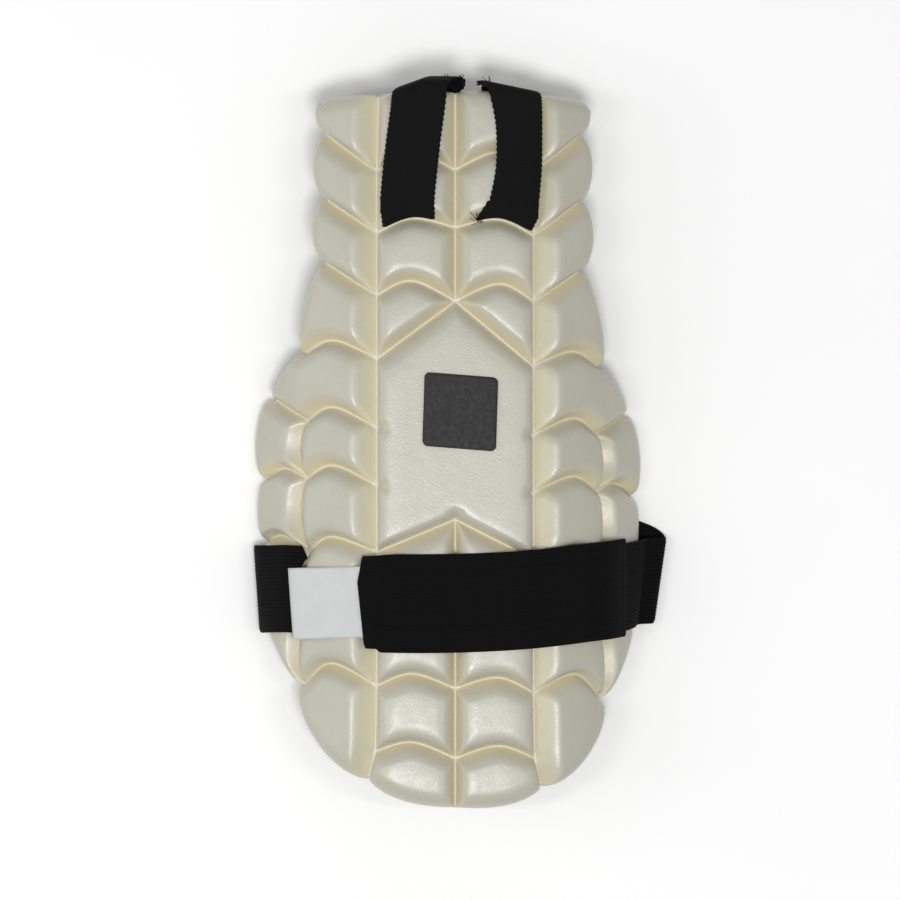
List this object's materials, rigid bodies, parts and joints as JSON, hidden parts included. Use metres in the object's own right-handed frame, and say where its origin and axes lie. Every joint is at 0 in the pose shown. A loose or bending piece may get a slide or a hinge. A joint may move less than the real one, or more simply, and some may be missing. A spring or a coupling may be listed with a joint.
{
  "type": "inner thigh pad",
  "caption": "Moulded foam inner thigh pad with scale-like blocks, an elastic strap round the back, a wide stitched tab and webbing belt loops at the narrow end",
  "frame": {"origin": "middle of the underside of the whole pad with its straps", "axes": "+X to the right seen from the front face, +Y towards the narrow end with the webbing loops, +Z out of the front face"},
  "size_m": [0.1812, 0.3192, 0.0518],
  "materials": {
    "moulded_foam": "soft satin skin on pearl cream foam",
    "black_elastic": "ribbed matt elastic",
    "black_webbing": "woven matt webbing",
    "white_label": "smooth white tape",
    "dark_badge": "thin satin transfer"
  },
  "bodies": {
    "root": {"moulded_pad": "moulded_foam", "elastic_strap": "black_elastic", "strap_end_tab": "black_elastic", "care_label": "white_label", "webbing_loop_left": "black_webbing", "webbing_loop_right": "black_webbing", "badge": "dark_badge"}
  },
  "joints": []
}
